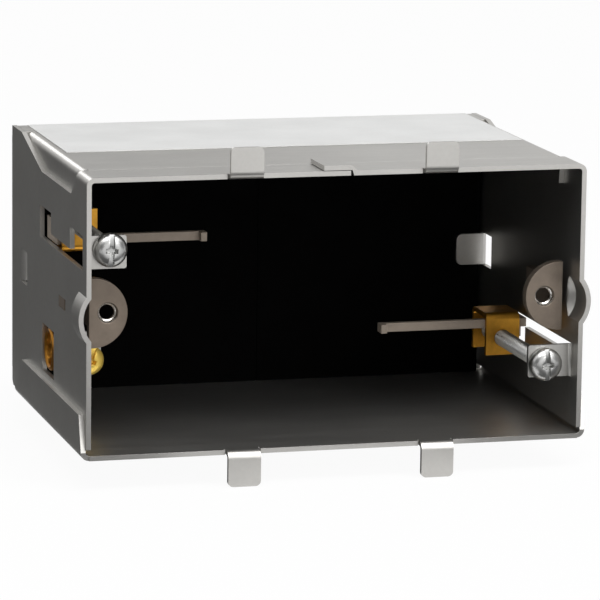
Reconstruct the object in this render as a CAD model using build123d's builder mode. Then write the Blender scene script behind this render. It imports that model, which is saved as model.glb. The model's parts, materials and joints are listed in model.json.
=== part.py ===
"""Fire rated wall box: folded steel box with an intumescent lining and screw-drawn side clamps.

Units are millimetres. X is to the right, Y goes back into the wall and Z is up.
The front rim lies at Y = 0, with the cavity centred on X = 0 and Z = 0.
"""
import os

from build123d import *

# Sheet steel
sheet = 0.9
bend = 0.6
fold = bend + sheet

# Cavity and overall depth, measured from the front rim
cavity_width = 93.1
cavity_height = 50.3
depth = 69.4

# Front ring made by the two side sheets, lapped on top
ring_depth = 9.4
ring_gap = 0.05
lap_left_end = 1.9
lap_step = 2.2
lap_slope = 0.3
lap_shoulder = 1.0
lap_tip = -3.2
lap_gap = 0.12

# Flange tabs that stop the box on the face of the board
flange_width = 6.2
flange_x_left = -18.0
flange_x_right = 19.0
flange_reach_top = 5.05
flange_reach_bottom = 5.8
flange_corner = 1.0
relief_width = 0.3
relief_depth = 0.9

# Side walls
wall_lift = 1.2
cut_depth = 4.85
cut_front = 13.6
cut_rear = 39.6
cut_rear_inset = 10.8
wall_trim = 0.9
wall_heel_length = 8.0
wall_heel_drop = 0.3
return_width = 9.0
return_trim = 2.0

# Folded flaps of the channel
top_flap_overlap = 0.4
top_flap_front = 10.1
top_flap_inset = 10.8
top_flap_slope_front = 0.5
top_flap_slope_rear = 3.2
bottom_flap_height = 8.2
bottom_flap_front = 0.4
bottom_flap_inset = 8.4
bottom_flap_slope_front = 2.0
bottom_flap_slope_rear = 6.8

# Accessory lugs on standard screw centres
screw_centres = 84.0
lug_front = 6.6
lug_thickness = 2.0
lug_radius = 6.5
lug_round_x = 44.8
lug_tapping_radius = 1.45
lug_countersink_radius = 1.95
lug_countersink_depth = 1.5
lug_gap = 1.05
lug_leg_thickness = 1.2
lug_leg_half_height = 2.6
lug_leg_rear = 24.6
lug_foot_front = 14.8
lug_slot_front = 18.2
lug_slot_rear = 24.2
lug_slot_low = -1.7
lug_slot_high = 0.5
lug_tenon_gap = 1.0

# Half-round swellings in the walls, on the accessory screws' axes
swell_radius = 6.9
swell_straight = 6.4
swell_rear = 7.8
swell_inset = 0.5

# Clamps: the left one sits above the middle, the right one below it
clamp_inset_left = 4.15
clamp_inset_right = 5.25
clamp_z = 12.3
slot_low = 8.6
slot_high = 10.75
window_front = 3.2
window_rear = 14.4
window_high = 15.0
notch_front = 31.2
notch_rear = 41.4
notch_high = 14.7
clamp_tab_reach = 3.2
tab_gap = 0.15
tab_corner = 0.4

clamp_screw_radius = 1.6
clamp_screw_end = 41.5
clamp_head_radius = 3.15
clamp_head_height = 2.1
clamp_head_round = 1.2
recess_width = 0.95
recess_depth = 1.1
recess_cross_length = 3.9
running_gap = 0.05
end_gap = 0.3
through = 1.0
retainer_radius = 2.7
retainer_thickness = 0.7

saddle_front = 29.0
saddle_depth = 9.2
saddle_width = 6.7
saddle_sheet = 0.95
saddle_near = 7.4
saddle_far = 15.6
saddle_round = 0.9
saddle_relief = 2.3

arm_set_back = 0.3
arm_thickness = 1.2
arm_low = 8.75
arm_high = 10.45
arm_length_left = 28.55
arm_length_right = 29.75
arm_grip = 1.55
arm_wall_gap = 0.1
foot_depth = 9.0
foot_step = 3.2
foot_high = 13.0
foot_thickness = 1.2

# Tabs that hold the lining
keeper_window_length = 6.0
keeper_tip = 40.9
keeper_half_height = 3.1
keeper_corner = 1.2

# Intumescent lining
lining_thickness = 8.3
lining_gap = 0.1

# Earth terminal on the left wall
earth_inset = 5.65
earth_rise = 12.15
earth_window_front = 28.4
earth_window_rear = 39.0
earth_window_rise = 8.35
earth_window_height = 9.2
earth_tab_reach = 2.6
earth_tab_corner = 3.4
earth_screw_radius = 1.75
earth_screw_end = 39.0
earth_head_radius = 2.9
earth_head_height = 2.1
earth_head_round = 0.9
earth_washer_radius = 2.75
earth_washer_thickness = 0.7
cage_sheet = 1.0
cage_round = 0.9
cage_wall_gap = 0.3
cage_rear = 42.4
cage_reach = 1.9
cage_rise = 8.95
cage_height = 8.6
cage_leg_half_height = 2.9
collar_y = 34.3
collar_radius = 4.1
collar_bore_radius = 3.2
collar_set_back = 0.15
collar_chamfer = 0.35

# Blank label on the top
label_thickness = 0.15
label_left = -44.6
label_right = 44.9
label_front = 30.7

# Derived positions
half_width = cavity_width / 2
half_height = cavity_height / 2
wall_out = half_width + sheet
flap_out = wall_out + sheet
top_out = half_height + sheet
wall_bottom = -half_height + wall_lift
wall_heel_front = depth - wall_heel_length
wall_heel_low = -half_height - wall_heel_drop
cut_rear_top = depth - cut_rear_inset
top_flap_rear = depth - top_flap_inset
bottom_flap_rear = depth - bottom_flap_inset
cut_z = top_out - cut_depth
panel_back = depth - sheet
lining_front = panel_back - sheet - lining_thickness
keeper_window_front = lining_front - keeper_window_length
hole_x = screw_centres / 2
clamp_x_left = half_width - clamp_inset_left
clamp_x_right = half_width - clamp_inset_right
arm_front = saddle_front + saddle_sheet + arm_set_back
clamp_tab_front = window_front + bend
clamp_tab_rear = clamp_tab_front + sheet
top_flap_low = cut_z - top_flap_overlap
earth_x = half_width - earth_inset
earth_z = -half_height + earth_rise
earth_window_low = -half_height + earth_window_rise
earth_window_high = earth_window_low + earth_window_height
cage_low = -half_height + cage_rise
cage_high = cage_low + cage_height
earth_tab_front = earth_window_front + bend
earth_tab_rear = earth_tab_front + sheet


def block(x, y, z, mode=Mode.ADD):
    """Box between two limits along each axis, given as pairs in any order."""
    centre = [(a + b) / 2 for a, b in (x, y, z)]
    size = [abs(a - b) for a, b in (x, y, z)]
    with Locations(tuple(centre)):
        Box(*size, mode=mode)


def rod(x, z, y_from, y_to, radius, mode=Mode.ADD):
    """Cylinder along Y."""
    with Locations((x, (y_from + y_to) / 2, z)):
        Cylinder(radius, abs(y_to - y_from), rotation=(90, 0, 0), mode=mode)


def taper(x, z, y_from, y_to, radius_from, radius_to, mode=Mode.ADD):
    """Cone along Y with a radius at each end."""
    with Locations((x, (y_from + y_to) / 2, z)):
        Cone(radius_from, radius_to, y_to - y_from, rotation=(-90, 0, 0), mode=mode)


def elbow(plane, u_sign, v_sign, length, inner=bend, thickness=sheet):
    """Quarter-round bend about the plane's origin, in one quadrant of the plane."""
    outer = inner + thickness
    with BuildSketch(plane) as profile:
        Circle(outer)
        Circle(inner, mode=Mode.SUBTRACT)
        with Locations((u_sign * outer / 2, v_sign * outer / 2)):
            Rectangle(outer, outer, mode=Mode.INTERSECT)
    extrude(profile.sketch, amount=length)


def along_y(x, y_to, z):
    """Plane with X and Z as its axes; extrusion runs towards the front."""
    return Plane(origin=(x, y_to, z), x_dir=(1, 0, 0), z_dir=(0, -1, 0))


def along_z(x, y, z_from):
    """Plane with X and Y as its axes; extrusion runs up."""
    return Plane(origin=(x, y, z_from), x_dir=(1, 0, 0), z_dir=(0, 0, 1))


def along_x(x_from, y, z):
    """Plane with Y and Z as its axes; extrusion runs to the right."""
    return Plane(origin=(x_from, y, z), x_dir=(0, 1, 0), z_dir=(1, 0, 0))


def side_plate(x_from, outline, thickness=sheet):
    """Flat plate across X from an outline of Y and Z values."""
    with BuildSketch(along_x(x_from, 0, 0)) as profile:
        with BuildLine():
            Polyline(*outline, close=True)
        make_face()
    extrude(profile.sketch, amount=thickness)


def flange_tab(x, up, reach):
    """Tab bent outwards from the front rim, with a relief notch at each side."""
    root = up * (top_out + bend)
    left = x - flange_width / 2
    elbow(along_x(left, 0, root), -1, -up, flange_width)
    tip = up * (top_out + reach)
    with BuildSketch(along_y(x, -bend, 0)) as profile:
        with Locations((0, (root + tip) / 2)):
            tab = Rectangle(flange_width, abs(tip - root))
        fillet(tab.vertices().group_by(Axis.Y)[-1 if up > 0 else 0], flange_corner)
    extrude(profile.sketch, amount=sheet)
    for edge in (left - relief_width, left + flange_width):
        notch_z = (up * half_height, up * top_out)
        block((edge, edge + relief_width), (0, relief_depth), notch_z, Mode.SUBTRACT)


def lanced_tab(side, y_edge, turn, tip, low, high, corner):
    """Tab bent inwards from a wall at one edge of its window; turn is +1 at the front edge."""
    root = half_width - bend
    elbow(along_z(side * root, y_edge, low), side, turn, high - low)
    rear = y_edge + turn * bend + (sheet if turn > 0 else 0)
    with BuildSketch(along_y(0, rear, 0)) as profile:
        with Locations((side * (root + tip) / 2, (low + high) / 2)):
            tab = Rectangle(root - tip, high - low)
        fillet(tab.vertices().group_by(Axis.X)[-1 if side < 0 else 0], corner)
    extrude(profile.sketch, amount=sheet)


def wall_cut(side, y_from, y_to, low, high):
    """Window through one side wall."""
    across = (side * (half_width - tab_gap), side * (wall_out + through))
    block(across, (y_from, y_to), (low, high), Mode.SUBTRACT)


def swelling(side):
    """Half-round swelling of the wall about the accessory screw, with a steep end at the rear."""
    x = side * hole_x
    inner_radius = swell_radius - sheet
    inner_straight = swell_straight - swell_inset
    inner_rear = swell_rear - swell_inset
    with BuildPart(mode=Mode.PRIVATE) as skin:
        rod(x, 0, 0, swell_straight, swell_radius)
        taper(x, 0, swell_straight, swell_rear, swell_radius, wall_out - hole_x)
        outside = (side * half_width, side * (wall_out + swell_radius))
        block(outside, (0, swell_rear), (-swell_radius, swell_radius), Mode.INTERSECT)
    with BuildPart(mode=Mode.PRIVATE) as hollow:
        rod(x, 0, -through, inner_straight, inner_radius)
        taper(x, 0, inner_straight, inner_rear, inner_radius, half_width - hole_x)
    add(skin.part)
    add(hollow.part, mode=Mode.SUBTRACT)


def side_sheet(side, clamp_x):
    """One side wall with its share of the front ring; side is -1 on the left and +1 on the right."""
    up = -side
    corner_x = side * (wall_out - fold)
    corner_y = depth - fold
    outline = [
        (0, wall_bottom),
        (wall_heel_front, wall_bottom),
        (wall_heel_front, wall_heel_low),
        (corner_y - wall_trim, wall_heel_low),
        (corner_y, wall_heel_low + wall_trim),
        (corner_y, top_out),
        (cut_rear_top, top_out),
        (cut_rear, cut_z),
        (cut_front, cut_z),
        (ring_depth, top_out - fold),
        (0, top_out - fold),
    ]
    side_plate(min(side * half_width, side * wall_out), outline)
    elbow(along_y(corner_x, ring_depth, top_out - fold), side, 1, ring_depth)
    return_low = wall_bottom + return_trim
    return_high = top_out - return_trim
    elbow(along_z(corner_x, corner_y, return_low), side, 1, return_high - return_low)
    return_x = (corner_x, side * (wall_out - return_width))
    block(return_x, (panel_back, depth), (return_low, return_high))
    swelling(side)

    z_levels = sorted((up * slot_low, up * slot_high))
    wall_cut(side, window_front, notch_rear, *z_levels)
    wall_cut(side, window_front, window_rear, *sorted((up * slot_low, up * window_high)))
    wall_cut(side, notch_front, notch_rear, *sorted((up * slot_low, up * notch_high)))
    tab_z = sorted((up * (slot_low + tab_gap), up * (window_high - tab_gap)))
    lanced_tab(side, window_front, 1, clamp_x - clamp_tab_reach, *tab_z, tab_corner)
    tab_y = (clamp_tab_front - through, clamp_tab_rear + through)
    rod(side * clamp_x, up * clamp_z, *tab_y, clamp_screw_radius + running_gap, Mode.SUBTRACT)

    keeper_rear = lining_front + bend
    keeper_cut = keeper_half_height + tab_gap
    wall_cut(side, keeper_window_front, keeper_rear, -keeper_cut, keeper_cut)
    keeper_z = keeper_half_height
    lanced_tab(side, keeper_rear, -1, keeper_tip, -keeper_z, keeper_z, keeper_corner)
    wall_cut(side, lug_slot_front, lug_slot_rear, lug_slot_low, lug_slot_high)


# Channel: top, back and floor in one sheet, with flaps on both sides
with BuildPart() as channel:
    corner_z = top_out - fold
    corner_y = panel_back - fold
    edge_x = half_width - running_gap
    block((-half_width + fold, half_width - fold), (ring_depth + ring_gap, corner_y), (half_height, top_out))
    block((-edge_x, edge_x), (top_flap_rear + relief_width, corner_y), (half_height, top_out))
    elbow(along_x(-edge_x, corner_y, corner_z), 1, 1, 2 * edge_x)
    panel_x = half_width - fold
    block((-panel_x, panel_x), (panel_back - sheet, panel_back), (-corner_z, corner_z))
    elbow(along_x(-edge_x, corner_y, -corner_z), 1, -1, 2 * edge_x)
    block((-edge_x, edge_x), (0, corner_y), (-top_out, -half_height))
    floor_x = flap_out - fold
    block((-floor_x, floor_x), (0, bottom_flap_rear), (-top_out, -half_height))
    top_flap = [
        (top_flap_front, corner_z),
        (top_flap_front + top_flap_slope_front, top_flap_low),
        (top_flap_rear - top_flap_slope_rear, top_flap_low),
        (top_flap_rear, corner_z),
    ]
    bottom_flap = [
        (bottom_flap_front, -corner_z),
        (bottom_flap_front + bottom_flap_slope_front, -top_out + bottom_flap_height),
        (bottom_flap_rear - bottom_flap_slope_rear, -top_out + bottom_flap_height),
        (bottom_flap_rear, -corner_z),
    ]
    for side in (-1, 1):
        top_length = top_flap_rear - top_flap_front
        elbow(along_y(side * (half_width - fold), top_flap_rear, corner_z), side, 1, top_length)
        side_plate(min(side * half_width, side * (half_width - sheet)), top_flap)
        bottom_length = bottom_flap_rear - bottom_flap_front
        elbow(along_y(side * floor_x, bottom_flap_rear, -corner_z), side, -1, bottom_length)
        side_plate(min(side * wall_out, side * flap_out), bottom_flap)
    for flange_x in (flange_x_left, flange_x_right):
        flange_tab(flange_x, -1, flange_reach_bottom)
channel.part.label = "channel"

# Left side, with the window and tab of the earth terminal
with BuildPart() as left_side:
    side_sheet(-1, clamp_x_left)
    strip_x = (-wall_out + fold, lap_left_end)
    block(strip_x, (0, ring_depth), (half_height, top_out))
    flange_tab(flange_x_left, 1, flange_reach_top)
    wall_cut(-1, earth_window_front, earth_window_rear, earth_window_low, earth_window_high)
    earth_tab_z = (earth_window_low + tab_gap, earth_window_high - tab_gap)
    lanced_tab(-1, earth_window_front, 1, earth_x - earth_tab_reach, *earth_tab_z, earth_tab_corner)
    earth_hole = earth_screw_radius + running_gap
    earth_hole_y = (earth_tab_front - through, earth_tab_rear + through)
    rod(-earth_x, earth_z, *earth_hole_y, earth_hole, Mode.SUBTRACT)
left_side.part.label = "left_side"

# Right side, with the raised tongue that laps over the left strip
with BuildPart() as right_side:
    side_sheet(1, clamp_x_right)
    tongue_low = top_out + lap_gap
    tongue_high = tongue_low + sheet
    strip_outline = [
        (lap_tip, tongue_low),
        (lap_step, tongue_low),
        (lap_step + lap_slope, half_height),
        (wall_out - fold, half_height),
        (wall_out - fold, top_out),
        (lap_step + lap_shoulder, top_out),
        (lap_step, tongue_high - lap_slope / 2),
        (lap_step - lap_slope, tongue_high),
        (lap_tip, tongue_high),
    ]
    with BuildSketch(along_y(0, ring_depth, 0)) as strip_profile:
        with BuildLine():
            Polyline(*strip_outline, close=True)
        make_face()
    extrude(strip_profile.sketch, amount=ring_depth)
    flange_tab(flange_x_right, 1, flange_reach_top)
right_side.part.label = "right_side"


def lining_half(side):
    """One half of the lining against the back panel."""
    x = (side * lining_gap / 2, side * (half_width - bend - lining_gap / 2))
    block(x, (lining_front, panel_back - sheet), (-half_height, half_height))
    chamfer(edges().filter_by(Axis.X).group_by(Axis.Y)[-1], bend)


with BuildPart() as left_lining:
    lining_half(-1)
left_lining.part.label = "left_lining"

with BuildPart() as right_lining:
    lining_half(1)
right_lining.part.label = "right_lining"


def lug(side):
    """Tapped lug with a leg along the wall and a tenon in the wall's slot."""
    y = (lug_front, lug_front + lug_thickness)
    rod(side * lug_round_x, 0, *y, lug_radius)
    beyond = (side * lug_round_x, side * (lug_round_x + 2 * lug_radius))
    block(beyond, y, (-lug_radius, lug_radius), Mode.SUBTRACT)
    edge_x = half_width - lug_gap
    block((side * lug_round_x, side * edge_x), y, (-lug_radius, lug_radius))
    leg_x = (side * (edge_x - lug_leg_thickness), side * edge_x)
    leg_z = (-lug_leg_half_height, lug_leg_half_height)
    block(leg_x, (lug_front, lug_leg_rear), leg_z)
    foot_x = (side * edge_x, side * half_width)
    block(foot_x, (lug_foot_front, lug_leg_rear), leg_z)
    tenon_y = (lug_slot_front + lug_tenon_gap, lug_slot_rear)
    block((side * half_width, side * wall_out), tenon_y, (lug_slot_low, lug_slot_high))
    hole_y = (lug_front - through, lug_front + lug_thickness + through)
    rod(side * hole_x, 0, *hole_y, lug_tapping_radius, Mode.SUBTRACT)
    sink_end = lug_front + lug_countersink_depth
    taper(side * hole_x, 0, lug_front, sink_end, lug_countersink_radius, lug_tapping_radius, Mode.SUBTRACT)


with BuildPart() as left_lug:
    lug(-1)
left_lug.part.label = "left_lug"

with BuildPart() as right_lug:
    lug(1)
right_lug.part.label = "right_lug"


def pan_screw(x, z, head_front, head_height, head_radius, head_round, shank_radius, shank_end):
    """Pan head screw facing the front, with a slot and a cross in its head."""
    crown = (x, z, head_front, head_front + 0.25 * head_round)
    shoulder = (x, z, head_front + 0.25 * head_round, head_front + head_round)
    taper(*crown, head_radius - head_round, head_radius - 0.35 * head_round)
    taper(*shoulder, head_radius - 0.35 * head_round, head_radius)
    rod(x, z, head_front + head_round, head_front + head_height, head_radius)
    rod(x, z, head_front + head_height, shank_end, shank_radius)
    recess_y = (head_front - through, head_front + recess_depth)
    slot_x = (x - recess_width / 2, x + recess_width / 2)
    block(slot_x, recess_y, (z - head_radius, z + head_radius), Mode.SUBTRACT)
    cross_x = (x - recess_cross_length / 2, x + recess_cross_length / 2)
    block(cross_x, recess_y, (z - recess_width / 2, z + recess_width / 2), Mode.SUBTRACT)
    chamfer(edges().filter_by(GeomType.CIRCLE).sort_by(Axis.Y)[-1], shank_radius * 0.4)


def clamp_screw(x, z):
    """Screw that draws a saddle forward."""
    front = clamp_tab_front - end_gap - clamp_head_height
    head = (clamp_head_height, clamp_head_radius, clamp_head_round)
    pan_screw(x, z, front, *head, clamp_screw_radius, clamp_screw_end)


with BuildPart() as left_clamp_screw:
    clamp_screw(-clamp_x_left, clamp_z)
left_clamp_screw.part.label = "left_clamp_screw"

with BuildPart() as right_clamp_screw:
    clamp_screw(clamp_x_right, -clamp_z)
right_clamp_screw.part.label = "right_clamp_screw"


def retainer(x, z):
    """Push-on ring that keeps a clamp screw in its tab."""
    y = (clamp_tab_rear + end_gap, clamp_tab_rear + end_gap + retainer_thickness)
    rod(x, z, *y, retainer_radius)
    rod(x, z, *y, clamp_screw_radius, Mode.SUBTRACT)


with BuildPart() as left_retainer:
    retainer(-clamp_x_left, clamp_z)
left_retainer.part.label = "left_retainer"

with BuildPart() as right_retainer:
    retainer(clamp_x_right, -clamp_z)
right_retainer.part.label = "right_retainer"


def saddle(x, up):
    """Folded brass strip that travels along the screw: front, closing and rear plates."""
    inner = saddle_round - saddle_sheet / 2
    outer = inner + saddle_sheet
    left = x - saddle_width / 2
    wide = (left, left + saddle_width)
    rear = saddle_front + saddle_depth
    near = up * saddle_near
    corner = up * (saddle_near + outer)
    far = up * saddle_far
    block(wide, (saddle_front, saddle_front + saddle_sheet), (corner, far))
    block(wide, (rear - saddle_sheet, rear), (corner, far))
    block(wide, (saddle_front + outer, rear - outer), (near, near + up * saddle_sheet))
    elbow(along_x(left, saddle_front + outer, corner), -1, -up, saddle_width, inner, saddle_sheet)
    elbow(along_x(left, rear - outer, corner), 1, -up, saddle_width, inner, saddle_sheet)
    hole = clamp_screw_radius + running_gap
    rod(x, up * clamp_z, saddle_front - through, rear + through, hole, Mode.SUBTRACT)
    side = -up
    relief_x = (x + side * saddle_relief, x + side * saddle_width)
    relief_z = (near + up * saddle_sheet, up * (foot_high + end_gap))
    block(relief_x, (saddle_front + outer, rear + through), relief_z, Mode.SUBTRACT)


with BuildPart() as left_saddle:
    saddle(-clamp_x_left, 1)
left_saddle.part.label = "left_saddle"

with BuildPart() as right_saddle:
    saddle(clamp_x_right, -1)
right_saddle.part.label = "right_saddle"


def clamp_arm(side, up, length):
    """Strip pushed out through the wall: finger grip at the inner end and a tall foot at the outer end."""
    z = (up * arm_low, up * arm_high)
    back = arm_front + arm_thickness
    outer_x = half_width - arm_wall_gap
    tip_x = outer_x - length
    block((side * tip_x, side * outer_x), (arm_front, back), z)
    block((side * tip_x, side * (tip_x + arm_thickness)), (arm_front - arm_grip, back), z)
    foot_x = (side * (outer_x - foot_thickness), side * outer_x)
    foot_rear = arm_front + foot_depth
    block(foot_x, (arm_front, foot_rear), z)
    block(foot_x, (arm_front + foot_step, foot_rear), (up * arm_low, up * foot_high))


with BuildPart() as left_clamp_arm:
    clamp_arm(-1, 1, arm_length_left)
left_clamp_arm.part.label = "left_clamp_arm"

with BuildPart() as right_clamp_arm:
    clamp_arm(1, -1, arm_length_right)
right_clamp_arm.part.label = "right_clamp_arm"

# Earth terminal: screw, washer and wire cage
with BuildPart() as earth_screw:
    earth_head_front = earth_tab_front - earth_washer_thickness - earth_head_height
    earth_head = (earth_head_height, earth_head_radius, earth_head_round)
    pan_screw(-earth_x, earth_z, earth_head_front, *earth_head, earth_screw_radius, earth_screw_end)
earth_screw.part.label = "earth_screw"

with BuildPart() as earth_washer:
    washer_y = (earth_tab_front - earth_washer_thickness, earth_tab_front)
    rod(-earth_x, earth_z, *washer_y, earth_washer_radius)
    rod(-earth_x, earth_z, *washer_y, earth_screw_radius + running_gap, Mode.SUBTRACT)
earth_washer.part.label = "earth_washer"

with BuildPart() as earth_cage:
    collar_x = -wall_out + collar_set_back
    cage_outer_x = -half_width + cage_wall_gap
    collar_height = cage_outer_x - collar_x
    cage_inner_x = -earth_x + cage_reach
    block((cage_outer_x, cage_inner_x), (earth_tab_rear, cage_rear), (cage_low, cage_high))
    hollow_x = (cage_outer_x + cage_sheet, cage_inner_x + through)
    hollow_y = (earth_tab_rear + cage_sheet, cage_rear - cage_sheet)
    block(hollow_x, hollow_y, (cage_low - through, cage_high + through), Mode.SUBTRACT)
    fillet(edges().filter_by(Axis.Z).group_by(Axis.X)[0], cage_round)
    leg_x = (cage_outer_x + 2 * cage_sheet, cage_inner_x + through)
    leg_y = (earth_tab_rear - through, cage_rear + through)
    block(leg_x, leg_y, (cage_low - through, earth_z - cage_leg_half_height), Mode.SUBTRACT)
    block(leg_x, leg_y, (cage_high + through, earth_z + cage_leg_half_height), Mode.SUBTRACT)
    with BuildSketch(along_x(collar_x, collar_y, (cage_low + cage_high) / 2)) as collar_profile:
        Circle(collar_radius)
    extrude(collar_profile.sketch, amount=collar_height)
    with BuildSketch(along_x(collar_x, collar_y, (cage_low + cage_high) / 2)) as bore_profile:
        Circle(collar_bore_radius)
    extrude(bore_profile.sketch, amount=collar_height + cage_sheet, mode=Mode.SUBTRACT)
    chamfer(edges().filter_by(GeomType.CIRCLE).group_by(Axis.X)[0], collar_chamfer)
    earth_bore_y = (earth_tab_rear - through, earth_tab_rear + cage_sheet + through)
    rod(-earth_x, earth_z, *earth_bore_y, earth_screw_radius + running_gap, Mode.SUBTRACT)
earth_cage.part.label = "earth_cage"

with BuildPart() as blank_label:
    label_y = (label_front, panel_back - fold)
    block((label_left, label_right), label_y, (top_out, top_out + label_thickness))
blank_label.part.label = "blank_label"

os.makedirs("parts", exist_ok=True)
export_step(channel.part, "parts/channel.step")
export_step(left_side.part, "parts/left_side.step")
export_step(right_side.part, "parts/right_side.step")
export_step(left_lining.part, "parts/left_lining.step")
export_step(right_lining.part, "parts/right_lining.step")
export_step(left_lug.part, "parts/left_lug.step")
export_step(right_lug.part, "parts/right_lug.step")
export_step(left_clamp_screw.part, "parts/left_clamp_screw.step")
export_step(right_clamp_screw.part, "parts/right_clamp_screw.step")
export_step(left_retainer.part, "parts/left_retainer.step")
export_step(right_retainer.part, "parts/right_retainer.step")
export_step(left_saddle.part, "parts/left_saddle.step")
export_step(right_saddle.part, "parts/right_saddle.step")
export_step(left_clamp_arm.part, "parts/left_clamp_arm.step")
export_step(right_clamp_arm.part, "parts/right_clamp_arm.step")
export_step(earth_screw.part, "parts/earth_screw.step")
export_step(earth_washer.part, "parts/earth_washer.step")
export_step(earth_cage.part, "parts/earth_cage.step")
export_step(blank_label.part, "parts/blank_label.step")
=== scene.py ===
"""Looks of the fire rated wall box: zinc sheet steel, brass, black lining and finely cut screws.

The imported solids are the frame, in metres. X is to the right, Y goes back into the wall, Z is up.
"""
import json
import math

import bmesh
import bpy
from mathutils import Matrix, Vector


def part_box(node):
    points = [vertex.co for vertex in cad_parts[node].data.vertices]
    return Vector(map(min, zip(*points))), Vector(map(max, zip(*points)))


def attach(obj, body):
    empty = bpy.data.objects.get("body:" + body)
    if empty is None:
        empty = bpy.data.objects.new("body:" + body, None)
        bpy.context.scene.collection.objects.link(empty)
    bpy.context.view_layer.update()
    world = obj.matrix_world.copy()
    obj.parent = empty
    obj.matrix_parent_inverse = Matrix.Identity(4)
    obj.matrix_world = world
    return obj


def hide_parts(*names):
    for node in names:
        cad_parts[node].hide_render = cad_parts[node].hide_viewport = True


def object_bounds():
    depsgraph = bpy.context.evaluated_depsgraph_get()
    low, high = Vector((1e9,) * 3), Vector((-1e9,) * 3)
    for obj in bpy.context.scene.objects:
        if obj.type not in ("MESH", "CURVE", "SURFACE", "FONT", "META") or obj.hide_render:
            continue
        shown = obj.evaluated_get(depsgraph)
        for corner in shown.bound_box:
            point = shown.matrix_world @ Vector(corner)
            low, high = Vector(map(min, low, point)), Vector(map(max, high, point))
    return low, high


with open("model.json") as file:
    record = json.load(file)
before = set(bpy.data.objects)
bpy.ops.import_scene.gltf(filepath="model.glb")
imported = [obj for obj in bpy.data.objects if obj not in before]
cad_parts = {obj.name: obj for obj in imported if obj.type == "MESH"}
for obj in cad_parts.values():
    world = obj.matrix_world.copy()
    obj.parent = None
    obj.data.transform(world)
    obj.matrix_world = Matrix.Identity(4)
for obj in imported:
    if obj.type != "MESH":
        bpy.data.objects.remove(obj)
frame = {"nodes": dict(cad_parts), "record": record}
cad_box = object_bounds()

MM = 0.001

# Camera, fitted to the photograph's rim, walls and lugs
CAMERA_PLACE = (-0.20474, -0.71580, 0.14181)
CAMERA_RIGHT = (0.96460, -0.26341, 0.01241)
CAMERA_UP = (0.03686, 0.18130, 0.98274)
CAMERA_LENS = 247.52
SENSOR_WIDTH = 36.0
NEAR_CLIP = 0.01

# Soft lamps, aimed at the middle of the opening: name, place, width, height and watts
LAMPS = (
    ("overhead", (0.15, -0.5, 1.25), 1.6, 1.0, 8),
    ("front_top", (0.1, -0.8, 1.45), 2.0, 0.5, 17),
    ("front_low", (0.45, -1.5, 0.42), 0.5, 0.5, 1.7),
    ("key", (0.80, -1.3, 0.80), 0.5, 0.5, 5),
    ("rim", (-0.12, 1.4, 0.43), 0.3, 0.25, 1.3),
)

# Floor and surroundings
FLOOR_HALF = 3.0
FLOOR_Z = cad_box[0][2] - 0.1 * MM
FLOOR_COLOUR = (0.86, 0.86, 0.86)
FLOOR_WHITE = 0.95
WORLD_COLOUR = (0.9, 0.92, 0.95)
WORLD_LEVEL = 0.20

# Dim cards around the box: level of the mats, edge beside the left wall and limits of height
MAT_Z = cad_box[0][2] + 0.2 * MM
WALL_EDGE = cad_box[0][0] - 3 * MM
LOW_CARD = (MAT_Z, MAT_Z + 0.22)
TALL_CARD = (MAT_Z, MAT_Z + 0.6)
SKY_CARD = (0.2, 0.6)

# Screws. The tip of the lead-in is a share of the shank's radius.
THREAD_PITCH = 0.6 * MM
CLAMP_SHANK = 1.6 * MM
EARTH_SHANK = 1.75 * MM
THREAD_DEPTH = 0.17 * MM
THREAD_SIDES = 32
RUN_OUT = THREAD_SIDES / 2
LEAD_IN = 0.9 * MM
LEAD_TIP = 0.6
CORE_OVERLAP = 0.3 * MM

# Section of a thread's ridge: place in pitches and rise in thread depths
RIDGE = ((-0.44, -0.2), (-0.06, 1.0), (0.06, 1.0), (0.44, -0.2))

# Pan heads. The foot and the dome are in shares of the head's height and radius.
HEAD_SIDES = 64
HEAD_HEIGHT = 2.1 * MM
HEAD_FOOT = ((1.0, 0.985), (0.94, 1.0))
HEAD_SOFTEN = 0.06 * MM
DOME_STEPS = 8
DOME_HEIGHT = 0.78
DOME_FLAT = 0.38

# Recess of a head: a full slot, and a cross that is wider at its mouth than at its bottom
SLOT_WIDTH = 0.95 * MM
SLOT_DEPTH = 0.95 * MM
SLOT_REACH = 6 * MM
CROSS_REACH = 1.4375 * MM
CROSS_WIDTH = 1.045 * MM
CROSS_DEPTH = 1.3 * MM
CROSS_TAPER = 0.55
CUT_ABOVE = 1 * MM

# Tapped and countersunk lugs
LUG_PLATE = 2.0 * MM
LUG_SINK_RADIUS = 1.95 * MM
LUG_SINK_DEPTH = 1.5 * MM
LUG_THREAD_FRONT = 0.4 * MM
LUG_THREAD_REAR = 0.3 * MM

# Sheet edges
WELD_GAP = 0.001 * MM
EDGE_ROUND = 0.09 * MM
EDGE_ANGLE = math.radians(40)
SMOOTH_ANGLE = math.radians(28)

# Metal: sheen at a grazing view, spangle, rolling lines with their direction, and soft clouds
EDGE_TINT = (0.66, 0.66, 0.66)
SPANGLE_SCALE = 1400.0
LINE_SCALE = 900.0
LINE_HEIGHT = 0.02 * MM
CLOUD_HEIGHT = 0.3 * MM
NO_GRAIN = (1, 1, 1)
GRAIN_X = (0.05, 1, 1)
GRAIN_Z = (1, 1, 0.1)

# Range of a noise texture that is in use
NOISE_LOW = 0.3
NOISE_HIGH = 0.7

# Colour sockets of a mix node
MIX_FIRST = 6
MIX_SECOND = 7
MIX_RESULT = 2


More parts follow.
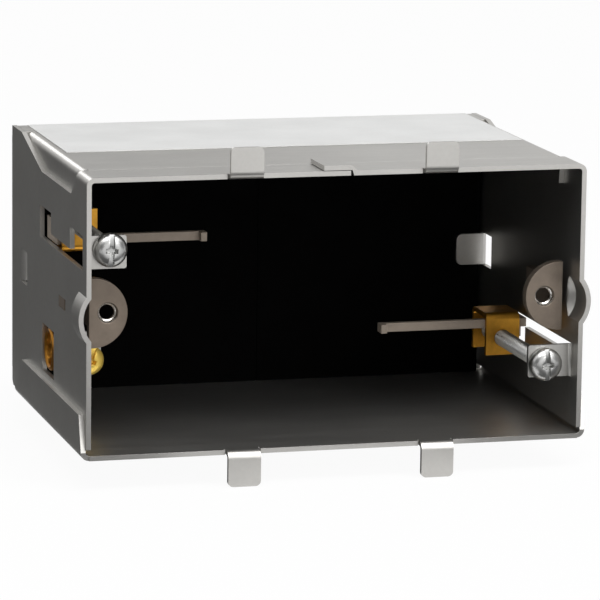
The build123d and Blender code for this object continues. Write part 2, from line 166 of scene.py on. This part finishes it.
class Nodes:
    """Small helper that adds shader nodes and links them."""

    def __init__(self, name):
        self.material = bpy.data.materials.new(name)
        self.material.use_nodes = True
        self.tree = self.material.node_tree
        self.shader = self.tree.nodes["Principled BSDF"]

    def add(self, kind, **settings):
        node = self.tree.nodes.new(kind)
        for key, value in settings.items():
            if key in node.inputs:
                node.inputs[key].default_value = value
            else:
                setattr(node, key, value)
        return node

    def link(self, source, target):
        self.tree.links.new(source, target)

    def place(self, scale):
        """Object coordinates in metres, stretched by a scale along each axis."""
        coordinates = self.add("ShaderNodeTexCoord")
        mapping = self.add("ShaderNodeMapping")
        mapping.inputs["Scale"].default_value = scale
        self.link(coordinates.outputs["Object"], mapping.inputs["Vector"])
        return mapping.outputs["Vector"]

    def noise(self, scale, detail, roughness, stretch=NO_GRAIN):
        texture = self.add("ShaderNodeTexNoise", Scale=scale, Detail=detail, Roughness=roughness)
        self.link(self.place(stretch), texture.inputs["Vector"])
        return texture.outputs["Fac"]

    def ramp(self, value, low, high):
        """Colour between two stops, each with a position and a colour."""
        ramp = self.add("ShaderNodeValToRGB")
        for element, (position, colour) in zip(ramp.color_ramp.elements, (low, high)):
            element.position = position
            element.color = (*colour, 1)
        self.link(value, ramp.inputs["Fac"])
        return ramp.outputs["Color"]

    def spread(self, value, low, high):
        """Value from a texture taken to the range low to high."""
        spread = self.add("ShaderNodeMapRange")
        spread.inputs["From Min"].default_value = NOISE_LOW
        spread.inputs["From Max"].default_value = NOISE_HIGH
        spread.inputs["To Min"].default_value = low
        spread.inputs["To Max"].default_value = high
        self.link(value, spread.inputs["Value"])
        return spread.outputs["Result"]

    def multiply(self, share, first, second):
        """First colour darkened by a share of the second."""
        mix = self.add("ShaderNodeMix", data_type="RGBA", blend_type="MULTIPLY", Factor=share)
        self.link(first, mix.inputs[MIX_FIRST])
        self.link(second, mix.inputs[MIX_SECOND])
        return mix.outputs[MIX_RESULT]

    def bump(self, height, strength, distance, normal=None):
        bump = self.add("ShaderNodeBump", Strength=strength, Distance=distance)
        self.link(height, bump.inputs["Height"])
        if normal is not None:
            self.link(normal, bump.inputs["Normal"])
        return bump.outputs["Normal"]


def tint(colour, share):
    """Colour taken darker or lighter by a share."""
    return tuple(min(1.0, channel * share) for channel in colour)


def sheet_metal(name, colour, roughness, metallic, grain=NO_GRAIN, cloud=60.0, contrast=0.04):
    """Rolled and plated metal: soft clouds, fine spangle and faint rolling lines."""
    m = Nodes(name)
    clouds = m.noise(cloud, 4.0, 0.6)
    spangle = m.noise(SPANGLE_SCALE, 2.0, 0.5)
    base = m.ramp(clouds, (0.32, tint(colour, 1 - contrast)), (0.68, tint(colour, 1 + contrast)))
    fleck = m.ramp(spangle, (0.35, (0.95, 0.95, 0.95)), (0.65, (1.0, 1.0, 1.0)))
    m.link(m.multiply(0.6, base, fleck), m.shader.inputs["Base Color"])
    m.shader.inputs["Metallic"].default_value = metallic
    m.shader.inputs["Specular Tint"].default_value = (*EDGE_TINT, 1)
    lines = m.noise(LINE_SCALE, 2.0, 0.5, grain)
    m.link(m.spread(lines, roughness - 0.02, roughness + 0.03), m.shader.inputs["Roughness"])
    normal = m.bump(lines, 0.03, LINE_HEIGHT)
    m.link(m.bump(clouds, 0.04, CLOUD_HEIGHT, normal), m.shader.inputs["Normal"])
    return m.material


def lining_board():
    """Black intumescent board: matt, grainy and slightly mottled."""
    m = Nodes("lining_board")
    grain = m.noise(2200.0, 3.0, 0.6)
    mottle = m.noise(120.0, 3.0, 0.5)
    base = m.ramp(mottle, (0.3, (0.0012, 0.0012, 0.0012)), (0.7, (0.0022, 0.0022, 0.0022)))
    fleck = m.ramp(grain, (0.4, (0.6, 0.6, 0.6)), (0.75, (1.0, 1.0, 1.0)))
    m.link(m.multiply(1.0, base, fleck), m.shader.inputs["Base Color"])
    m.link(m.spread(grain, 0.82, 0.95), m.shader.inputs["Roughness"])
    m.shader.inputs["Specular IOR Level"].default_value = 0.05
    m.link(m.bump(grain, 0.35, 0.08 * MM), m.shader.inputs["Normal"])
    return m.material


def label_film():
    """Satin white film with a faint unevenness from the sheet under it."""
    m = Nodes("label_film")
    cloud = m.noise(90.0, 3.0, 0.5)
    fibre = m.noise(2500.0, 2.0, 0.5)
    base = m.ramp(cloud, (0.3, (0.65, 0.65, 0.64)), (0.7, (0.71, 0.71, 0.70)))
    m.link(base, m.shader.inputs["Base Color"])
    m.link(m.spread(fibre, 0.42, 0.55), m.shader.inputs["Roughness"])
    m.shader.inputs["Specular IOR Level"].default_value = 0.2
    m.link(m.bump(fibre, 0.06, 0.02 * MM), m.shader.inputs["Normal"])
    return m.material


zinc = sheet_metal("zinc_sheet", (0.536, 0.525, 0.502), 0.36, 0.97, GRAIN_X)
lug_steel = sheet_metal("lug_steel", (0.21, 0.171, 0.137), 0.42, 0.6, GRAIN_Z, 240.0, 0.12)
arm_steel = sheet_metal("arm_steel", (0.37, 0.312, 0.258), 0.70, 0.4, GRAIN_X, 200.0, 0.08)
screw_steel = sheet_metal("screw_steel", (0.56, 0.56, 0.55), 0.29, 1.0, cloud=150.0)
brass = sheet_metal("brass", (1.0, 0.69, 0.14), 0.34, 0.55, GRAIN_Z, 90.0)
# Saddle and cage brass are darker copies of the brass: painted shade for the shade they sit in
# inside the box.
shaded_saddle_brass = sheet_metal("shaded_saddle_brass", (0.67, 0.33, 0.042), 0.36, 0.9, GRAIN_Z, 260.0, 0.22)
shaded_cage_brass = sheet_metal("shaded_cage_brass", (0.33, 0.148, 0.021), 0.36, 0.9, GRAIN_Z, 260.0, 0.2)
cut_steel = sheet_metal("cut_steel", (0.66, 0.64, 0.61), 0.22, 1.0, cloud=150.0)
lining = lining_board()
label = label_film()

FINISHES = {
    "zinc_steel": zinc,
    "lug_steel": lug_steel,
    "arm_steel": arm_steel,
    "screw_steel": screw_steel,
    "brass": brass,
    "lining": lining,
    "label": label,
}

# Nodes that take a darker brass copy in place of their slot's brass: painted shade.
SHADED_BRASS = {"left_saddle": shaded_saddle_brass, "right_saddle": shaded_saddle_brass, "earth_cage": shaded_cage_brass}


def finish_cad():
    """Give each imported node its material, fine rounded edges and flats that shade as flat."""
    slots = {part["node"]: part["material_slot"] for part in frame["record"]["subparts"]}
    for name, obj in frame["nodes"].items():
        finish = SHADED_BRASS.get(name, FINISHES[slots[name]])
        obj.data.materials.clear()
        obj.data.materials.append(finish)
        weld = obj.modifiers.new("join", "WELD")
        weld.merge_threshold = WELD_GAP
        round_edges = obj.modifiers.new("edges", "BEVEL")
        round_edges.width = EDGE_ROUND
        round_edges.segments = 2
        round_edges.limit_method = "ANGLE"
        round_edges.angle_limit = EDGE_ANGLE
        round_edges.harden_normals = True
        flat_faces = obj.modifiers.new("flats", "WEIGHTED_NORMAL")
        flat_faces.keep_sharp = True


def as_object(name, bm):
    """Turn a bmesh into an object in the scene."""
    mesh = bpy.data.meshes.new(name)
    bm.to_mesh(mesh)
    bm.free()
    obj = bpy.data.objects.new(name, mesh)
    bpy.context.scene.collection.objects.link(obj)
    return obj


def new_piece(name, bm, body, material):
    """Turn a bmesh into a piece that rides on a body."""
    obj = as_object(name, bm)
    mesh = obj.data
    mesh.materials.append(material)
    mesh.polygons.foreach_set("use_smooth", [True] * len(mesh.polygons))
    mesh.set_sharp_from_angle(angle=SMOOTH_ANGLE)
    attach(obj, body)
    return obj


def skin(bm, rings):
    """Closed solid through a row of rings with as many points each."""
    count = len(rings[0])
    for first, second in zip(rings, rings[1:]):
        for i in range(count):
            j = (i + 1) % count
            bm.faces.new((first[i], first[j], second[j], second[i]))
    bm.faces.new(list(reversed(rings[0])))
    bm.faces.new(rings[-1])
    bmesh.ops.recalc_face_normals(bm, faces=bm.faces)


def spun(profile, sides):
    """Closed solid turned about Y from points of distance along Y and radius."""
    bm = bmesh.new()
    rings = []
    for along, radius in profile:
        ring = []
        for i in range(sides):
            angle = 2 * math.pi * i / sides
            ring.append(bm.verts.new((radius * math.cos(angle), along, radius * math.sin(angle))))
        rings.append(ring)
    skin(bm, rings)
    return bm


def thread(bm, y_from, y_to, radius_at, height):
    """Closed right-hand ridge about Y on a round wall. A negative height points to the axis."""
    steps = int((y_to - y_from) / THREAD_PITCH * THREAD_SIDES)
    rings = []
    for k in range(steps + 1):
        angle = -2 * math.pi * k / THREAD_SIDES
        share = min(1.0, k / RUN_OUT, (steps - k) / RUN_OUT)
        ring = []
        for along, rise in RIDGE:
            y = y_from + THREAD_PITCH * (k / THREAD_SIDES + along)
            radius = radius_at(y) + height * (rise * share if rise > 0 else rise)
            ring.append(bm.verts.new((radius * math.cos(angle), y, radius * math.sin(angle))))
        rings.append(ring)
    skin(bm, rings)


def bar(bm, half_x, half_z, depth, taper):
    """Block from above a head down into it, narrowed at its bottom by a share."""
    corners = []
    for y, share in ((-CUT_ABOVE, 1.0), (depth, taper)):
        for sx, sz in ((-1, -1), (1, -1), (1, 1), (-1, 1)):
            corners.append(bm.verts.new((sx * half_x * share, y, sz * half_z * share)))
    sides = [(i, i + 4, (i + 1) % 4 + 4, (i + 1) % 4) for i in range(4)]
    for face in ((0, 1, 2, 3), (7, 6, 5, 4), *sides):
        bm.faces.new([corners[i] for i in face])


def recess_cutter():
    """Full slot with a tapered cross in the middle, to be cut from a head whose top is at Y = 0."""
    bm = bmesh.new()
    bar(bm, SLOT_WIDTH / 2, SLOT_REACH, SLOT_DEPTH, 1.0)
    bar(bm, CROSS_REACH, CROSS_WIDTH / 2, CROSS_DEPTH, CROSS_TAPER)
    bar(bm, CROSS_WIDTH / 2, CROSS_REACH, CROSS_DEPTH, CROSS_TAPER)
    bmesh.ops.recalc_face_normals(bm, faces=bm.faces)
    return bm


def head_mesh(radius, height):
    """Pan head with its recess cut and its edges softened."""
    profile = [(height * along, radius * across) for along, across in HEAD_FOOT]
    for i in range(DOME_STEPS + 1):
        angle = math.pi / 2 * i / DOME_STEPS
        along = DOME_HEIGHT * height * (1 - math.sin(angle))
        profile.append((along, radius * (DOME_FLAT + (1 - DOME_FLAT) * math.cos(angle))))
    blank = as_object("head_blank", spun(profile, HEAD_SIDES))
    cutter = as_object("head_cutter", recess_cutter())
    cut = blank.modifiers.new("recess", "BOOLEAN")
    cut.object = cutter
    cut.operation = "DIFFERENCE"
    cut.solver = "EXACT"
    cut.use_self = True
    soften = blank.modifiers.new("soften", "BEVEL")
    soften.width = HEAD_SOFTEN
    soften.segments = 2
    soften.limit_method = "ANGLE"
    soften.angle_limit = EDGE_ANGLE
    bpy.context.view_layer.update()
    evaluated = blank.evaluated_get(bpy.context.evaluated_depsgraph_get())
    mesh = bpy.data.meshes.new_from_object(evaluated)
    bpy.data.objects.remove(blank)
    bpy.data.objects.remove(cutter)
    return mesh


def join(bm, other):
    """Add another bmesh to the first one."""
    mesh = bpy.data.meshes.new("joined")
    other.to_mesh(mesh)
    other.free()
    bm.from_mesh(mesh)
    bpy.data.meshes.remove(mesh)


def screw(node, body, shank, material, turn):
    """Detailed screw in the place of a packed one: head with recess, threaded shank and lead-in."""
    low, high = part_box(node)
    centre = (low + high) / 2
    radius = (high.x - low.x) / 2
    length = high.y - low.y
    head = head_mesh(radius, HEAD_HEIGHT)
    bm = bmesh.new()
    bm.from_mesh(head)
    bpy.data.meshes.remove(head)
    bmesh.ops.rotate(bm, verts=bm.verts, cent=(0, 0, 0), matrix=Matrix.Rotation(turn, 3, "Y"))
    core = shank - THREAD_DEPTH
    lead_from = length - LEAD_IN
    shaft = [(HEAD_HEIGHT - CORE_OVERLAP, core), (lead_from, core), (length, shank * LEAD_TIP)]
    join(bm, spun(shaft, THREAD_SIDES))
    ridge = bmesh.new()
    thread(ridge, HEAD_HEIGHT, lead_from, lambda y: core, THREAD_DEPTH)
    join(bm, ridge)
    bmesh.ops.translate(bm, verts=bm.verts, vec=(centre.x, low.y, centre.z))
    obj = new_piece(node + "_cut", bm, body, material)
    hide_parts(node)


def lug_thread(node, side):
    """Thread in the tapped and countersunk hole of an accessory lug."""
    mount = next(m for m in frame["record"]["mounts"] if m["name"] == "accessory_screws")
    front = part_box(node)[0].y
    tapping = mount["dims"]["hole_r_mm"] * MM

    def wall(y):
        sunk = min(max((y - front) / LUG_SINK_DEPTH, 0.0), 1.0)
        return LUG_SINK_RADIUS + (tapping - LUG_SINK_RADIUS) * sunk

    bm = bmesh.new()
    rear = front + LUG_PLATE - LUG_THREAD_REAR
    thread(bm, front + LUG_THREAD_FRONT, rear, wall, -THREAD_DEPTH)
    centre = (side * mount["dims"]["spacing_x_mm"] / 2 * MM, 0, mount["pos_m"][2])
    bmesh.ops.translate(bm, verts=bm.verts, vec=centre)
    new_piece(node + "_thread", bm, "box", cut_steel)


def rays_that_see(tree):
    """Value that is 1 for camera, glossy and transmission rays, which see white around the box."""
    path = tree.nodes.new("ShaderNodeLightPath")
    seen = path.outputs["Is Camera Ray"]
    for kind in ("Is Glossy Ray", "Is Transmission Ray"):
        either = tree.nodes.new("ShaderNodeMath")
        either.operation = "MAXIMUM"
        tree.links.new(seen, either.inputs[0])
        tree.links.new(path.outputs[kind], either.inputs[1])
        seen = either.outputs[0]
    return seen


def stage_floor():
    """Pale floor that looks white, and still takes the object's shadow."""
    mesh = bpy.data.meshes.new("floor")
    signs = ((-1, -1), (1, -1), (1, 1), (-1, 1))
    corners = [(x * FLOOR_HALF, y * FLOOR_HALF, FLOOR_Z) for x, y in signs]
    mesh.from_pydata(corners, [], [(0, 1, 2, 3)])
    floor = bpy.data.objects.new("floor", mesh)
    bpy.context.scene.collection.objects.link(floor)
    m = Nodes("floor_paper")
    m.shader.inputs["Base Color"].default_value = (*FLOOR_COLOUR, 1)
    m.shader.inputs["Roughness"].default_value = 0.9
    m.shader.inputs["Specular IOR Level"].default_value = 0.1
    share = m.add("ShaderNodeMath", operation="MULTIPLY")
    m.link(rays_that_see(m.tree), share.inputs[0])
    share.inputs[1].default_value = FLOOR_WHITE
    white = m.add("ShaderNodeEmission", Strength=1.0)
    both = m.add("ShaderNodeMixShader")
    m.link(share.outputs[0], both.inputs["Fac"])
    m.link(m.shader.outputs["BSDF"], both.inputs[1])
    m.link(white.outputs["Emission"], both.inputs[2])
    m.link(both.outputs["Shader"], m.tree.nodes["Material Output"].inputs["Surface"])
    mesh.materials.append(m.material)


def stage_world():
    """White around the object, and an even soft grey for the light itself."""
    world = bpy.data.worlds.new("studio")
    bpy.context.scene.world = world
    world.use_nodes = True
    tree = world.node_tree
    background = tree.nodes["Background"]
    background.inputs["Color"].default_value = (*WORLD_COLOUR, 1)
    background.inputs["Strength"].default_value = WORLD_LEVEL
    white = tree.nodes.new("ShaderNodeBackground")
    white.inputs["Color"].default_value = (1, 1, 1, 1)
    white.inputs["Strength"].default_value = 1.0
    both = tree.nodes.new("ShaderNodeMixShader")
    tree.links.new(rays_that_see(tree), both.inputs["Fac"])
    tree.links.new(background.outputs["Background"], both.inputs[1])
    tree.links.new(white.outputs["Background"], both.inputs[2])
    tree.links.new(both.outputs["Shader"], tree.nodes["World Output"].inputs["Surface"])


def soft_light(name, place, width, height, watts):
    """Rectangular lamp that faces the middle of the opening."""
    light = bpy.data.lights.new(name, "AREA")
    light.shape = "RECTANGLE"
    light.size = width
    light.size_y = height
    light.energy = watts
    obj = bpy.data.objects.new(name, light)
    bpy.context.scene.collection.objects.link(obj)
    obj.location = place
    obj.visible_camera = False
    obj.rotation_euler = (-Vector(place)).to_track_quat("-Z", "Y").to_euler()


def stage_card(name, corners, level):
    """Dim card that shows only in reflections, as a studio flag does."""
    mesh = bpy.data.meshes.new(name)
    mesh.from_pydata(corners, [], [(0, 1, 2, 3)])
    card = bpy.data.objects.new(name, mesh)
    bpy.context.scene.collection.objects.link(card)
    m = Nodes(name + "_cloth")
    dim = m.add("ShaderNodeEmission", Strength=level)
    m.link(dim.outputs["Emission"], m.tree.nodes["Material Output"].inputs["Surface"])
    mesh.materials.append(m.material)
    card.visible_camera = False
    card.visible_diffuse = False
    card.visible_transmission = False
    card.visible_shadow = False


def mat(x, y):
    """Corners of a card on the floor, from its limits along X and Y."""
    return [(x[0], y[0], MAT_Z), (x[1], y[0], MAT_Z), (x[1], y[1], MAT_Z), (x[0], y[1], MAT_Z)]


def upright(start, end, z):
    """Corners of an upright card over a line on the floor, from its limits along Z."""
    return [(*start, z[0]), (*end, z[0]), (*end, z[1]), (*start, z[1])]


def stage_cards():
    """Mats on the floor and upright cards around the box: name, corners and level."""
    cards = (
        ("side_mat", mat((-3, WALL_EDGE), (-0.15, 2.5)), 0.11),
        ("back_card", upright((-3, 1.6), (WALL_EDGE, 1.6), LOW_CARD), 0.115),
        ("side_card", upright((-1, -0.5), (-1, 1.6), LOW_CARD), 0.18),
        ("front_card", upright((-1, -0.5), (-0.3, -0.9), TALL_CARD), 0.12),
        ("right_card", upright((0.55, -0.9), (1.1, -0.2), TALL_CARD), 0.12),
        ("middle_mat", mat((-0.028, 0.03), (-0.12, -0.03)), 0.12),
        # Mat under the box: painted shadow, dark in reflections where the box's shadow lies on the
        # floor.
        ("shadow_under_box_mat", mat((-0.05, 0.05), (0.0, 0.07)), 0.10),
        ("sky_card", upright((0.05, 1.6), (0.43, 1.6), SKY_CARD), 0.35),
        ("left_mat", mat((-0.2, -0.028), (-0.1, -0.004)), 0.12),
        ("right_mat", mat((0.03, 0.2), (-0.1, -0.004)), 0.12),
    )
    for name, corners, level in cards:
        stage_card(name, corners, level)


def stage_camera():
    """Camera at the photograph's place."""
    camera = bpy.data.cameras.new("camera")
    camera.lens = CAMERA_LENS
    camera.sensor_width = SENSOR_WIDTH
    camera.clip_start = NEAR_CLIP
    obj = bpy.data.objects.new("camera", camera)
    bpy.context.scene.collection.objects.link(obj)
    right = Vector(CAMERA_RIGHT).normalized()
    up = Vector(CAMERA_UP).normalized()
    back = right.cross(up)
    turned = Matrix((right, up, back)).transposed().to_4x4()
    obj.matrix_world = Matrix.Translation(CAMERA_PLACE) @ turned
    bpy.context.scene.camera = obj


stage_camera()
stage_floor()
stage_world()
stage_cards()
for lamp in LAMPS:
    soft_light(*lamp)

finish_cad()
screw("left_clamp_screw", "left_screw", CLAMP_SHANK, screw_steel, math.radians(3))
screw("right_clamp_screw", "right_screw", CLAMP_SHANK, screw_steel, math.radians(-2))
screw("earth_screw", "earth_screw", EARTH_SHANK, brass, math.radians(20))
lug_thread("left_lug", -1)
lug_thread("right_lug", 1)

bpy.context.scene.view_settings.view_transform = "Standard"
bpy.context.view_layer.update()
